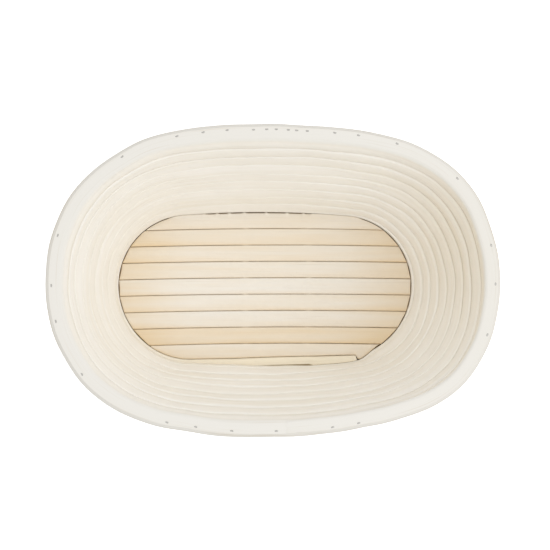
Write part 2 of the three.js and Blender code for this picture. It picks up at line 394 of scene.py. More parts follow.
@dataclass(frozen=True)
class SlatFinish:
    """Split rattan, planed: warm cream with a satin face, browner along some slats, with painted shade at
    the ends, front edges and seams.
    """

    name: str = "split_rattan_slat"
    cream: str = "#EFEAE1"
    tan: str = "#E8D2AE"
    pore: str = "#B0956A"
    # Painted shade: brown on the slats' sides and lower rounded edges, which darkens the seams.
    seam_shade: str = "#9C7C4C"
    # Real pores are about 0.3 mm wide, too fine to show, so they are drawn coarser.
    grain_width: float = 0.8 * MM
    grain_length: float = 45 * MM
    grain_depth: float = 0.08 * MM
    band_width: float = 5.0 * MM
    band_length: float = 90 * MM
    # Painted shade: browner towards the slat ends, where the wall shades them.
    end_shade_from: float = 35 * MM
    end_shade_to: float = 75 * MM

    def make(self) -> Material:
        """Make the material, which reads each slat's tone with its painted shade, and the place along the
        floor.
        """
        material, tree, output = new_material(self.name)
        own = add_node(tree, "Attribute", {"attribute_name": Run.SLAT.value}).outputs["Vector"]
        shades = add_node(tree, "SeparateXYZ", inputs={"Vector": own}).outputs
        place = add_node(tree, "TexCoord").outputs["Object"]
        pores = grain(tree, place, self.grain_length, self.grain_width)
        band = grain(tree, place, self.band_length, self.band_width)
        along = add_node(tree, "SeparateXYZ", inputs={"Vector": place}).outputs["X"]
        far = add_node(tree, "Math", {"operation": "ABSOLUTE"}, {0: along}).outputs["Value"]
        # Painted shade towards the slat ends, next to the wall.
        ends = add_node(tree, "MapRange", {"interpolation_type": Easing.SOFT.value}, {
            "Value": far, "From Min": self.end_shade_from, "From Max": self.end_shade_to,
            "To Max": 0.4}).outputs["Result"]
        # Browner with the band noise, plus the painted shade at the ends and each slat's tone with its
        # painted front shade.
        brown = add_node(tree, "MapRange", inputs={
            "Value": band, "From Min": 0.35, "From Max": 0.75, "To Max": 0.35}).outputs["Result"]
        for more in (ends, shades["X"]):
            brown = add_node(tree, "Math", {"operation": "ADD"}, {0: brown, 1: more}).outputs["Value"]
        colour = lay_coats(tree, self.cream, (
            Coat(self.tan, (0.0, 1.0), (Fade(brown),)),
            Coat(self.pore, (0.0, 0.2), (Fade(pores, 0.6, 0.8),)),
            # Painted shade along the seams and slat edges.
            Coat(self.seam_shade, (0.0, 1.0), (Fade(shades["Y"]),)),
        ))
        bump = add_node(tree, "Bump", inputs={
            "Strength": 0.3, "Distance": self.grain_depth, "Height": pores}).outputs["Normal"]
        rough = add_node(tree, "MapRange", inputs={
            "Value": pores, "To Min": 0.42, "To Max": 0.62}).outputs["Result"]
        surface = add_node(tree, "BsdfPrincipled", inputs={
            "Base Color": colour, "Roughness": rough, "IOR": 1.5, "Normal": bump})
        tree.links.new(surface.outputs["BSDF"], output.inputs["Surface"])
        return material


@dataclass(frozen=True)
class BradFinish:
    """Drawn steel wire, dulled: dark grey metal with a mottled, slightly tarnished face."""

    name: str = "dulled_steel_wire"
    bright: str = "#D6D4CF"
    dark: str = "#9C9993"
    mottle: float = 0.5 * MM

    def make(self) -> Material:
        """Make the material."""
        material, tree, output = new_material(self.name)
        place = add_node(tree, "TexCoord").outputs["Object"]
        spots = add_node(tree, "TexNoise", inputs={
            "Vector": place, "Scale": 1 / self.mottle, "Detail": 3.0}).outputs["Fac"]
        colour = lay_coats(tree, self.bright, (Coat(self.dark, (0.0, 1.0), (Fade(spots),)),))
        rough = add_node(tree, "MapRange", inputs={
            "Value": spots, "To Min": 0.35, "To Max": 0.6}).outputs["Result"]
        surface = add_node(tree, "BsdfPrincipled", inputs={
            "Base Color": colour, "Roughness": rough, "Metallic": 0.9})
        tree.links.new(surface.outputs["BSDF"], output.inputs["Surface"])
        return material


@dataclass(frozen=True)
class PaperFinish:
    """White paper sweep under the basket, which shows as white and keeps a soft shadow."""

    name: str = "white_paper_sweep"
    white: str = "#C9C9C8"
    lift: float = 0.85
    foot_length: float = 88 * MM
    foot_width: float = 52 * MM
    foot_fade: tuple[float, float] = (0.95, 1.3)

    def make(self) -> Material:
        """Make the material, whose lift only the eye and reflections see, and not under the basket."""
        material, tree, output = new_material(self.name)
        paper = add_node(tree, "BsdfDiffuse", inputs={"Color": linear(self.white)})
        place = add_node(tree, "TexCoord").outputs["Object"]
        scaled = add_node(tree, "VectorMath", {"operation": "DIVIDE"}, {
            0: place, 1: (self.foot_length, self.foot_width, 1.0)}).outputs["Vector"]
        far = add_node(tree, "VectorMath", {"operation": "LENGTH"}, {0: scaled}).outputs["Value"]
        open_paper = add_node(tree, "MapRange", {"interpolation_type": Easing.SOFT.value}, {
            "Value": far, "From Min": self.foot_fade[0], "From Max": self.foot_fade[1],
            "To Max": self.lift}).outputs["Result"]
        lift = add_node(tree, "Math", {"operation": "MULTIPLY"}, {
            0: seen_rays(tree), 1: open_paper}).outputs["Value"]
        glow = add_node(tree, "Emission", inputs={"Strength": lift})
        both = add_node(tree, "AddShader", inputs={
            0: paper.outputs["BSDF"], 1: glow.outputs["Emission"]})
        tree.links.new(both.outputs["Shader"], output.inputs["Surface"])
        return material


def seen_rays(tree: NodeTree) -> NodeSocket:
    """Add the test for rays from the eye, a reflection or a clear body.

    Args:
        tree: Node tree of a material or of the world.

    Returns:
        A socket that is 1 on such rays.
    """
    path = add_node(tree, "LightPath").outputs
    seen = add_node(tree, "Math", {"operation": "MAXIMUM"}, {
        0: path["Is Camera Ray"], 1: path["Is Glossy Ray"]}).outputs["Value"]
    return add_node(tree, "Math", {"operation": "MAXIMUM"}, {
        0: seen, 1: path["Is Transmission Ray"]}).outputs["Value"]


@dataclass(frozen=True)
class HalfOval:
    """Half of an oval, from its right end to its left end: three arcs that run into each other."""

    half_length: float
    half_width: float
    side_radius: float

    @property
    def end_radius(self) -> float:
        """Radius of the two round ends."""
        square = 2 * self.side_radius * self.half_width - self.half_length ** 2 - self.half_width ** 2
        return square / (2 * (self.side_radius - self.half_length))

    @property
    def meet(self) -> float:
        """Angle faced where an end meets the long side."""
        return math.atan2(self.side_radius - self.half_width, self.half_length - self.end_radius)

    @property
    def length(self) -> float:
        """Length along the three arcs."""
        return 2 * self.end_radius * self.meet + self.side_radius * (math.pi - 2 * self.meet)

    def facing(self, share: float) -> float:
        """Give the angle faced at a share of the length, from 0 to half a turn."""
        run = share * self.length
        end_run = self.end_radius * self.meet
        if run < end_run:
            return run / self.end_radius
        if run > self.length - end_run:
            return math.pi - (self.length - run) / self.end_radius
        return self.meet + (run - end_run) / self.side_radius

    def point(self, share: float) -> Vector:
        """Give the point at a share of the length."""
        angle = self.facing(share)
        c, s = math.cos(angle), math.sin(angle)
        if self.meet < angle < math.pi - self.meet:
            return Vector((self.side_radius * c, self.side_radius * (s - 1) + self.half_width, 0))
        centre = math.copysign(self.half_length - self.end_radius, c)
        return Vector((centre + self.end_radius * c, self.end_radius * s, 0))


@dataclass(frozen=True)
class Oval:
    """An oval, run through clockwise from its right end: first its front half, then its back half."""

    front: HalfOval
    back: HalfOval

    def facing(self, share: float) -> float:
        """Give the angle that the oval faces at a share of its turn."""
        share = share % 1.0
        if share < 0.5:
            return -self.front.facing(2 * share)
        return -math.pi - self.back.facing(2 * share - 1)

    def point(self, share: float) -> Vector:
        """Give the point at a share of the turn."""
        share = share % 1.0
        if share < 0.5:
            return self.front.point(2 * share) * Vector((1, -1, 0))
        return self.back.point(2 * share - 1) * Vector((-1, 1, 0))


@dataclass(frozen=True)
class Sway:
    """One slow wave of the hand-laid cane: its reach, its waves in a turn and its phase."""

    reach: float
    waves: float
    phase: float


@dataclass(frozen=True)
class Rise:
    """A smooth rise round one place: its reach, its place and its spread.

    Places round the wall are shares of a turn, after which the rise comes again. Places on the floor are
    metres, all far smaller than 1, so they meet it once.
    """

    reach: float
    place: float
    spread: float

    def at(self, place: float) -> float:
        """Give the height of the rise at a place."""
        away = (place - self.place + 0.5) % 1.0 - 0.5
        return self.reach * math.exp(-((away / self.spread) ** 2))


@dataclass
class CaneWall:
    """The wall: one square cane, wound clockwise from the floor to the rim."""

    turns: int = 10
    width: float = 7.9 * MM
    turn_gap: float = 0.12 * MM
    floor_gap: float = 0.38 * MM
    corner: float = 1.6 * MM
    corner_steps: int = 5
    shoulder: float = 3.2 * MM
    under_corner: float = 0.7 * MM
    under_steps: int = 2
    steps: int = 160
    crease: float = math.radians(50)
    start_share: float = 0.093
    climb_share: float = 0.16
    first_shift: float = 0.03
    shift: float = 0.3
    lean_share: float = 0.3
    start_height: float = 5.6 * MM
    start_tip: float = 1.2 * MM
    end_tip: float = 0.03 * MM
    tip_gap: float = 0.02 * MM
    pared_in: float = 0.04
    foot_radii: tuple[float, float] = (3000 * MM, 504 * MM)
    second_radii: tuple[float, float] = (424 * MM, 404 * MM)
    rim_radius: float = 284 * MM
    end_ledge: float = 1.7 * MM
    side_ledges: tuple[float, float] = (4.1 * MM, 2.9 * MM)
    start_line: float = -36.55 * MM
    start_slope: float = 0.027
    least_facing: float = 0.5
    lip: float = 0.06 * MM
    flat_power: float = 0.13
    proud: tuple[Rise, ...] = (Rise(0.87, 0.95, 0.11), Rise(0.34, 0.25, 0.13))
    proud_lip: float = 0.9 * MM
    press_share: float = 0.5
    shoulder_share: float = 0.3
    foot_bulge: Rise = Rise(0.85 * MM, 0.37, 0.065)
    foot_levels: int = 4
    bulges: tuple[Rise, ...] = (
        Rise(2.1 * MM, 0.075, 0.045), Rise(-0.9 * MM, 0.155, 0.03), Rise(1.2 * MM, 0.30, 0.06),
        Rise(2.0 * MM, 0.415, 0.06), Rise(0.8 * MM, 0.57, 0.05), Rise(0.9 * MM, 0.69, 0.05),
        Rise(0.5 * MM, 0.80, 0.04), Rise(2.2 * MM, 0.91, 0.05),
    )
    sways: tuple[Sway, ...] = (
        Sway(0.15 * MM, 1.37, 0.4), Sway(0.14 * MM, 3.61, 2.1), Sway(0.09 * MM, 6.83, 4.4),
        Sway(0.11 * MM, 11.2, 1.2), Sway(0.09 * MM, 17.3, 0.7), Sway(0.06 * MM, 26.9, 2.9),
    )
    piece: Object | None = field(init=False, default=None)

    def __post_init__(self) -> None:
        """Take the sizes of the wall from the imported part."""
        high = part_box("wall_cane")[1]
        self.rim_top = high.z
        self.rise = (self.rim_top + self.turn_gap) / self.turns
        self.height = self.rise - self.turn_gap
        floor_low, floor_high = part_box("floor_slat_5")
        front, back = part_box("floor_slat_9")[0].y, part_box("floor_slat_1")[1].y
        half = self.width / 2
        long = (floor_high.x - floor_low.x) / 2 + self.floor_gap + half
        wide = (back - front) / 2 + self.floor_gap + half
        self.foot = Oval(*(HalfOval(long, wide, radius) for radius in self.foot_radii))
        self.second = Oval(*(
            HalfOval(long + self.end_ledge, wide + ledge, radius)
            for ledge, radius in zip(self.side_ledges, self.second_radii)))
        rim = HalfOval(high.x - half, high.y - half, self.rim_radius)
        self.rim = Oval(rim, rim)
        self.start = self.climb_share * ease_reaches((self.start_tip + self.turn_gap) / self.rise)
        self.end = self.climb_share * (1 - ease_reaches((self.end_tip + self.turn_gap) / self.rise))
        self.turn_length = 2 * rim.length

    def outward(self, share: float) -> Vector:
        """Give the way that the wall faces at a share of the turn."""
        facing = (self.foot.facing(share) + self.rim.facing(share)) / 2
        return Vector((math.cos(facing), math.sin(facing), 0))

    def level(self, passed: float) -> float:
        """Give the level reached after some turns: the cane steps outward before it passes its start."""
        since = passed - self.start
        whole = math.floor(since)
        shift = self.shift if whole else self.first_shift
        step = ease((since - whole - 1 + shift) / shift)
        return min(whole + step, self.turns - 1)

    def middle(self, share: float, level: float) -> Vector:
        """Give the cane's middle line in plan.

        Args:
            share: Share of the turn, clockwise from the right end.
            level: Level of the wall, 0 at the floor.

        Returns:
            The point, at height 0.
        """
        second = self.second.point(share)
        if level < 1:
            return self.foot.point(share).lerp(second, level)
        return second.lerp(self.rim.point(share), (level - 1) / (self.turns - 2))

    def sway(self, passed: float, level: float) -> float:
        """Give how far the hand-laid cane strays outward, nothing on the first turn."""
        waves = (s.reach * math.sin(math.tau * s.waves * passed + s.phase) for s in self.sways)
        return min(level, 1.0) * sum(waves)

    def lean(self, share: float) -> float:
        """Give how far the start of the cane leans in against the tapered front slat."""
        outward = self.outward(share)
        inner = self.foot.point(share) - outward * self.width / 2
        short = self.start_line + self.start_slope * inner.x - inner.y
        return max(0.0, short / max(-outward.y, self.least_facing))

    def place(self, passed: float, out: float, height: float) -> Vector:
        """Give a point beside the cane's middle line.

        Args:
            passed: Turns since the first climb began.
            out: Distance outward from the middle line.
            height: Height above the table.

        Returns:
            The point in the part's frame.
        """
        share = (self.start_share + passed) % 1.0
        level = self.level(passed)
        stray = self.sway(passed, level)
        if self.start <= passed < self.start + self.lean_share:
            stray -= self.lean(share)
        stray += level / (self.turns - 1) * sum(bulge.at(share) for bulge in self.bulges)
        stray += max(1 - level / self.foot_levels, 0) * self.foot_bulge.at(share)
        point = self.middle(share, level) + self.outward(share) * (out + stray)
        point.z = height
        return point

    def proudness(self, passed: float) -> float:
        """Give how far the turns stand proud of each other inside, 0 where they were pressed flat."""
        return sum(rise.at(self.start_share + passed) for rise in self.proud)

    def ledge(self, passed: float) -> float:
        """Give the width of the first turn that the second leaves free."""
        return (self.place(passed + 1, 0, 0) - self.place(passed, 0, 0)).dot(
            self.outward((self.start_share + passed) % 1.0))

    def wind(self, passed: float, out: float, up: float) -> Vector:
        """Lay a point of the straight cane on the wall.

        Args:
            passed: Turns since the first climb began.
            out: Place across the cane, outward.
            up: Place up the cane.

        Returns:
            The point in the part's frame.
        """
        turn = math.floor(passed)
        climb = ease((passed - turn) / self.climb_share)
        bottom = self.rise * (turn - 1 + climb) if turn else 0.0
        last_turn = passed - self.start - self.turns + 1
        rim = ease(last_turn / self.shoulder_share + 1)
        out, up = self.round_shoulder(out, up, mix(self.corner, self.shoulder, rim))
        if turn == self.turns:
            bottom -= (self.turn_gap - self.tip_gap) * ease((passed - turn) / self.end)
            out, up = self.pare_end(out, up, self.rim_top - bottom)
        elif turn:
            since = passed - self.start
            pressed = ease((since - 1) / self.press_share)
            lip = self.lip + self.proud_lip * self.proudness(passed)
            slant = pressed * max(self.ledge(passed - 1) - lip, 0)
            out, up = self.press(passed, out, up, pressed * ease(self.turns - 1 - since))
            out -= slant * max(-out / self.width, 0) * 2 * (1 - up / self.height)
        elif passed < self.climb_share:
            out, up = self.thin_start(passed, out, up, self.rise * climb - self.turn_gap)
        return self.place(passed, out, bottom + up)

    def round_shoulder(self, out: float, up: float, radius: float) -> tuple[float, float]:
        """Give the upper outer corner another radius.

        Args:
            out: Place across the cane, outward.
            up: Place up the cane.
            radius: The new radius.

        Returns:
            The new places across and up.
        """
        outward, upward = out - self.width / 2 + self.corner, up - self.height + self.corner
        if min(outward, upward) < 0 or max(outward, upward) < self.corner / 2:
            return out, up
        share = radius / self.corner
        return self.width / 2 - radius + outward * share, self.height - radius + upward * share

    def press(self, passed: float, out: float, up: float, pressed: float) -> tuple[float, float]:
        """Square off the inner corners where the cane was pressed flat on the mould.

        Args:
            passed: Turns since the first climb began.
            out: Place across the cane, outward.
            up: Place up the cane.
            pressed: How far the cane is pressed here, from 0 to 1.

        Returns:
            The new places across and up.
        """
        power = mix(1.0, self.flat_power + self.proudness(passed), pressed)
        upper = up > self.height / 2
        radius = self.corner if upper else self.under_corner
        level, way = (self.height - radius, 1) if upper else (radius, -1)
        inward, beyond = radius - self.width / 2 - out, (up - level) * way
        if min(inward, beyond) <= 0:
            return out, up
        return (radius * (1 - (inward / radius) ** power) - self.width / 2,
                level + way * radius * (beyond / radius) ** power)

    def pare_end(self, out: float, up: float, left: float) -> tuple[float, float]:
        """Pare the end of the cane from below, so that its top keeps the round corners of the rim.

        Args:
            out: Place across the cane, outward.
            up: Place up the cane.
            left: Height of cane left.

        Returns:
            The new places across and up.
        """
        depth = self.height - up
        if depth <= left:
            return out, left - depth
        radius = self.shoulder if out > 0 else self.corner
        round_in = max(radius - left, 0)
        reach = self.width / 2 - radius + math.sqrt(radius ** 2 - round_in ** 2)
        reach -= (depth - left) * self.pared_in
        return min(max(out, -reach), reach), 0.0

    def thin_start(self, passed: float, out: float, up: float, under: float) -> tuple[float, float]:
        """Thin the start under the second turn, and leave its free ledge as high as the slats.

        Args:
            passed: Turns since the climb began.
            out: Place across the cane, outward.
            up: Place up the cane.
            under: Height left under the second turn.

        Returns:
            The new places across and up.
        """
        half = self.width / 2
        if under >= self.start_height:
            return out, up * under / self.height
        riser = self.ledge(passed) - self.turn_gap - half
        if up < self.height / 2:
            inner = ease((half - out) / self.width)
            return out, up * mix(under, self.start_height, inner) / self.height
        if out < -self.corner / 4:
            return min(out, riser), self.start_height - (self.height - up)
        if out < self.corner / 4:
            return riser, self.start_height
        turned = math.atan2(max(up - self.height + self.corner, 0), max(out - half + self.corner, 0))
        return mix(riser, half, 1 - turned / (math.pi / 2)), under

    def straight(self, step: float, count: int) -> Object:
        """Model the straight square cane with round corners.

        Args:
            step: Length of one step of the cane.
            count: Number of steps.

        Returns:
            The closed cane along +X, in object mode.
        """
        half = self.width / 2
        cane = new_bar("wound_cane", Vector((0, -half, 0)), Vector((step, half, self.height)))
        pick(cane, "FACE", lambda middle, normal: abs(normal.x) > SQUARE_ON)
        bpy.ops.mesh.delete(type="ONLY_FACE")
        pick(cane, "EDGE", lambda a, b: abs(a.x - b.x) > step / 2 and a.z > half)
        bpy.ops.mesh.bevel(offset=self.corner, segments=self.corner_steps, affect="EDGES")
        pick(cane, "EDGE", lambda a, b: abs(a.x - b.x) > step / 2 and a.z < self.under_corner)
        bpy.ops.mesh.bevel(offset=self.under_corner, segments=self.under_steps, affect="EDGES")
        pick(cane, "EDGE", lambda a, b: abs(a.x - b.x) < step / 2 and (a - b).length > self.corner)
        bpy.ops.mesh.subdivide(number_cuts=1)
        bpy.ops.object.mode_set(mode="OBJECT")
        row = cane.modifiers.new("steps", "ARRAY")
        row.count = count
        row.use_relative_offset = False
        row.use_constant_offset = True
        row.constant_offset_displace = (step, 0, 0)
        row.use_merge_vertices = True
        row.merge_threshold = step / 1000
        bpy.ops.object.modifier_apply(modifier=row.name)
        bpy.ops.object.mode_set(mode="EDIT")
        bpy.ops.mesh.select_all(action="SELECT")
        bpy.ops.mesh.fill_holes(sides=0)
        bpy.ops.mesh.normals_make_consistent(inside=False)
        bpy.ops.object.mode_set(mode="OBJECT")
        return cane

    def build(self) -> Object:
        """Wind the straight cane up."""
        whole = self.turns + self.end - self.start
        step, count = self.turn_length / self.steps, round(whole * self.steps)
        self.piece = cane = self.straight(step, count)
        run = cane.data.attributes.new(Run.CANE.value, "FLOAT_VECTOR", "POINT")
        for vertex in cane.data.vertices:
            along, out, up = vertex.co
            run.data[vertex.index].vector = vertex.co
            vertex.co = self.wind(self.start + along / (step * count) * whole, out, up)
        cane.data.update()
        bpy.ops.object.shade_smooth_by_angle(angle=self.crease)
        return cane

    def dress(self, finish: CaneFinish) -> None:
        """Give the cane its finish and its place on the part."""
        self.piece.data.materials.append(finish.make(self))
        hand_over(self.piece, Slot.CANE, "wall_cane")

    def floor_edge(self, points: int = 256) -> list[Vector]:
        """Give the outline left for the floor inside the first turn.

        Args:
            points: Number of points round the floor.

        Returns:
            Points clockwise from the start of the cane.
        """
        reach = -self.width / 2 - self.floor_gap
        return [self.place(self.start + i / points, reach, 0) for i in range(points)]


@dataclass(frozen=True)
class Spot:
    """A place on a slat: along and across it from -1 to 1, its line on the floor, and if it is on top."""

    along: float
    across: float
    y: float
    above: bool

    @property
    def side(self) -> float:
        """Give 1 in the right half of the slat and -1 in the left."""
        return math.copysign(1, self.along)


@dataclass
class SlatFloor:
    """The floor: nine slats side by side, with ends cut to the first turn of the cane."""

    wall: CaneWall
    count: int = 9
    rounding: float = 0.55 * MM
    rounding_steps: int = 3
    crown: float = 0.35 * MM
    unevenness: float = 0.1 * MM
    cuts_along: int = 90
    cuts_across: int = 7
    cuts_up: int = 3
    finer_cuts: int = 2
    finer_margin: float = 0.1 * MM
    crease: float = math.radians(40)
    seed: int = 9
    turn: float = math.radians(0.36)
    seam: float = 0.11 * MM
    shut_below: float = 4.7 * MM
    shut_seam: float = 0.02 * MM
    pinch: float = 1.3 * MM
    spread: float = 0.09 * MM
    bow: float = 0.85 * MM
    corner_fit: float = 0.22 * MM
    left_cuts: tuple[float, ...] = (0.2, 0.35, 0.5, 0.45, 0.25, 0.1, 0.4)
    right_cuts: tuple[float, ...] = (0.45, 0.4, 0.42, 0.38, 0.4, 0.35, 0.3)
    end_gap: float = 0.05 * MM
    back_open: tuple[float, float] = (-36 * MM, 27 * MM)
    back_ramps: tuple[float, float] = (10 * MM, 6 * MM)
    back_fills: float = 0.9
    back_opens: float = 1.15
    back_touches: tuple[float, ...] = (
        -31.3 * MM, -24.6 * MM, -18.4 * MM, -10.8 * MM, 0.3 * MM, 10.8 * MM, 19.2 * MM, 23.9 * MM)
    touch: float = 0.7 * MM
    tip_from: float = 46 * MM
    tip_ramp: float = 4 * MM
    tip_opens: float = 0.8
    front_gap: float = 0.12 * MM
    front_shut: float = 0.04 * MM
    front_open: Rise = Rise(0.8 * MM, 57.4 * MM, 2.2 * MM)
    front_tip: float = 0.15 * MM
    notch: float = 1.6 * MM
    # Painted shade: browner towards the front edge of each slat.
    shade: float = 0.34
    tones: tuple[float, ...] = (0.12, 0.3, 0.15, 0.06, -0.05, 0.08, 0.02, 0.5, 0.2)
    seam_shade_fade: float = 0.6 * MM
    seam_shade_hidden: float = 0.8
    pieces: list[Object] = field(init=False, default_factory=list)

    def reach(self, outline: list[Vector], y: float, side: float) -> float:
        """Find how far the floor reaches at a place across the width.

        Args:
            outline: Outline of the floor.
            y: Place across the width.
            side: 1 for the right end and -1 for the left.

        Returns:
            Distance from the middle of the length.
        """
        found = [
            side * (a.x + (b.x - a.x) * (y - a.y) / (b.y - a.y))
            for a, b in zip(outline, outline[1:] + outline[:1])
            if a.x * side > 0 and (a.y - y) * (b.y - y) <= 0 and a.y != b.y]
        return max(found, default=min(abs(p.x) for p in outline if abs(p.y) > abs(y) - 2 * self.rounding))

    @staticmethod
    def side(outline: list[Vector], x: float, way: int, otherwise: float) -> float:
        """Find how far the floor reaches to the back or the front at a place along the length.

        Args:
            outline: Outline of the floor.
            x: Place along the length.
            way: 1 for the back and -1 for the front.
            otherwise: What to give where the outline has no such side.

        Returns:
            The place across the width.
        """
        found = [
            a.y + (b.y - a.y) * (x - a.x) / (b.x - a.x) for a, b in zip(outline, outline[1:])
            if a.y * way > 0 and (a.x - x) * (b.x - x) <= 0 and a.x != b.x]
        return way * max((y * way for y in found), default=otherwise * way)

    def build(self) -> list[Object]:
        """Model one slat after another from the back to the front."""
        outline = self.wall.floor_edge()
        dice = random.Random(self.seed)
        for number in range(1, self.count + 1):
            self.pieces.append(self.slat(number, outline, dice.uniform(-1, 1)))
        return self.pieces

    def blank(self, number: int, low: Vector, high: Vector) -> Object:
        """Model the straight bar that a slat is cut from, with rounded upper edges.

        Args:
            number: Number of the slat from the back.
            low: Lowest corner of the slat's box.
            high: Highest corner of the slat's box.

        Returns:
            The bar, in object mode.
        """
        half = (high.x - low.x) / 2
        bar = new_bar(
            f"planed_slat_{number}", Vector((-half, low.y, low.z)), Vector((half, high.y, high.z)))
        pick(bar, "EDGE", lambda a, b: abs(a.x - b.x) > half)
        bpy.ops.mesh.subdivide(number_cuts=self.cuts_along)
        if number == 1:
            least, inner = self.finer_margin, half - self.finer_margin
            pick(bar, "EDGE", lambda a, b: abs(a.x - b.x) > least and max(abs(a.x), abs(b.x)) < inner)
            bpy.ops.mesh.subdivide(number_cuts=self.finer_cuts)
        pick(bar, "EDGE", lambda a, b: abs(a.z - b.z) > (high.z - low.z) / 2)
        bpy.ops.mesh.subdivide(number_cuts=self.cuts_up)
        pick(bar, "EDGE", lambda a, b: abs(a.y - b.y) > (high.y - low.y) / 2)
        bpy.ops.mesh.subdivide(number_cuts=self.cuts_across)

        def at_edge(point: Vector) -> bool:
            """Say whether a point is on the upper edge of the bar."""
            inside = min(half - abs(point.x), point.y - low.y, high.y - point.y)
            return inside < CLOSE and point.z > high.z - CLOSE

        pick(bar, "EDGE", lambda a, b: at_edge(a) and at_edge(b))
        bpy.ops.mesh.bevel(offset=self.rounding, segments=self.rounding_steps, affect="EDGES")
        bpy.ops.object.mode_set(mode="OBJECT")
        return bar

    def slat(self, number: int, outline: list[Vector], lift: float) -> Object:
        """Model a slat: a bar with a slight crown, cut to the floor's outline.

        Args:
            number: Number of the slat from the back.
            outline: Outline of the floor.
            lift: Share of the usual difference in height, from -1 to 1.

        Returns:
            The slat.
        """
        low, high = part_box(f"floor_slat_{number}")
        bar = self.blank(number, low, high)
        half, middle, wide = (high.x - low.x) / 2, (low.y + high.y) / 2, (high.y - low.y) / 2
        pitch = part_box("floor_slat_1")[1].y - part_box("floor_slat_2")[1].y
        wires = [sum(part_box(f"cross_wire_{i}"), Vector()).x / 2 for i in (1, 2)]
        tone = bar.data.attributes.new(Run.SLAT.value, "FLOAT_VECTOR", "POINT")
        for vertex in bar.data.vertices:
            run, z = vertex.co.x, vertex.co.z
            along, across, above = run / half, (vertex.co.y - middle) / wide, z >= self.shut_below
            pinched = max(Rise(1.0, wire, self.pinch).at(run) for wire in wires)
            seam = self.seam * (1 - pinched) if above else self.shut_seam
            line = {1: -1, self.count: 1}.get(number, across)
            y = middle + line * (pitch - seam) / 2 + math.tan(self.turn) * run
            y -= self.spread * (number - (1 + line) / 2) + self.bow * along * along
            x, y = self.fit(outline, number, Spot(along, across, y, above))
            shut = (1 - self.back_opening(x)) * ease(across * 2 - 1) if number == 1 else 0.0
            # Painted shade on the sides and lower rounded edges, fainter where a seam is pinched or the
            # back joint is shut.
            seam_shade = ease((high.z - self.rounding / 4 - z) / self.seam_shade_fade) * ease(z / MM)
            seam_shade *= (1 - self.seam_shade_hidden * pinched) * (1 - self.seam_shade_hidden * shut)
            # Each slat's own tone, plus painted shade growing towards its front edge.
            shade = self.tones[number - 1] + self.shade * max(-across, 0) ** 2
            tone.data[vertex.index].vector = shade, seam_shade, 0
            if z > (high.z - CLOSE) / 2:
                z += lift * self.unevenness - self.crown * across * across * (1 - shut)
            vertex.co = x, y, z
        bar.data.update()
        bpy.ops.object.shade_smooth_by_angle(angle=self.crease)
        return bar

    def fit(self, outline: list[Vector], number: int, spot: Spot) -> tuple[float, float]:
        """Lay a place of a slat on the floor: the outer slats follow the wall, the others end at it.

        Args:
            outline: Outline of the floor.
            number: Number of the slat from the back.
            spot: Place on the slat.

        Returns:
            The place along the length and across the width.
        """
        arc = self.reach(outline, spot.y, spot.side)
        if number == 1:
            return self.fit_back(outline, spot, spot.along * (arc - self.corner_fit))
        if number == self.count:
            return self.fit_front(outline, spot, spot.along * (arc - self.corner_fit))
        if not spot.above:
            return spot.along * (arc + self.wall.floor_gap - self.end_gap), spot.y
        cuts = self.right_cuts if spot.side > 0 else self.left_cuts
        cut = cuts[number - 2] * MM * (1 - spot.across * spot.across)
        return spot.along * (arc + self.corner_fit - cut), spot.y

    def fit_back(self, outline: list[Vector], spot: Spot, x: float) -> tuple[float, float]:
        """Lay a place of the back slat, whose back follows the wall and touches it here and there.

        Args:
            outline: Outline of the floor.
            spot: Place on the slat, whose line is the slat's front edge.
            x: Place along the length.

        Returns:
            The place along the length and across the width.
        """
        opened = self.back_opens * self.back_opening(x) if spot.above else 0.0
        back = self.side(outline, x, 1, spot.y) + self.wall.floor_gap * (self.back_fills - opened)
        return x, mix(spot.y, back, (1 + spot.across) / 2)

    def fit_front(self, outline: list[Vector], spot: Spot, x: float) -> tuple[float, float]:
        """Lay a place of the front slat, whose front follows the first turn and has a notch at its start.

        Args:
            outline: Outline of the floor.
            spot: Place on the slat, whose line is the slat's back edge.
            x: Place along the length.

        Returns:
            The place along the length and across the width.
        """
        half, tip = len(outline) // 2, outline[0]
        if x < tip.x:
            front = self.side(outline[:half], x, -1, tip.y)
        else:
            beyond = self.side(outline[half:], x, -1, outline[-1].y)
            front = mix(tip.y, beyond, ease((x - tip.x) / self.notch))
        gap = self.front_gap + self.front_open.at(x) if spot.above else self.front_shut
        front = min(front + gap - self.wall.floor_gap, spot.y - self.front_tip)
        return x, mix(spot.y, front, (1 - spot.across) / 2)

    def back_opening(self, x: float) -> float:
        """Give how far the joint behind the back slat is open at a place along it, from 0 to 1."""
        (first, last), (opens, closes) = self.back_open, self.back_ramps
        opened = ease((x - first) / opens) * ease((last - x) / closes)
        opened *= 1 - max(Rise(1.0, place, self.touch).at(x) for place in self.back_touches)
        return max(opened, self.tip_opens * ease((abs(x) - self.tip_from) / self.tip_ramp))

    def dress(self, finish: SlatFinish) -> None:
        """Give the slats their finish and their places on the part."""
        material = finish.make()
        for number, piece in enumerate(self.pieces, 1):
            piece.data.materials.append(material)
            hand_over(piece, Slot.SLAT, f"floor_slat_{number}")


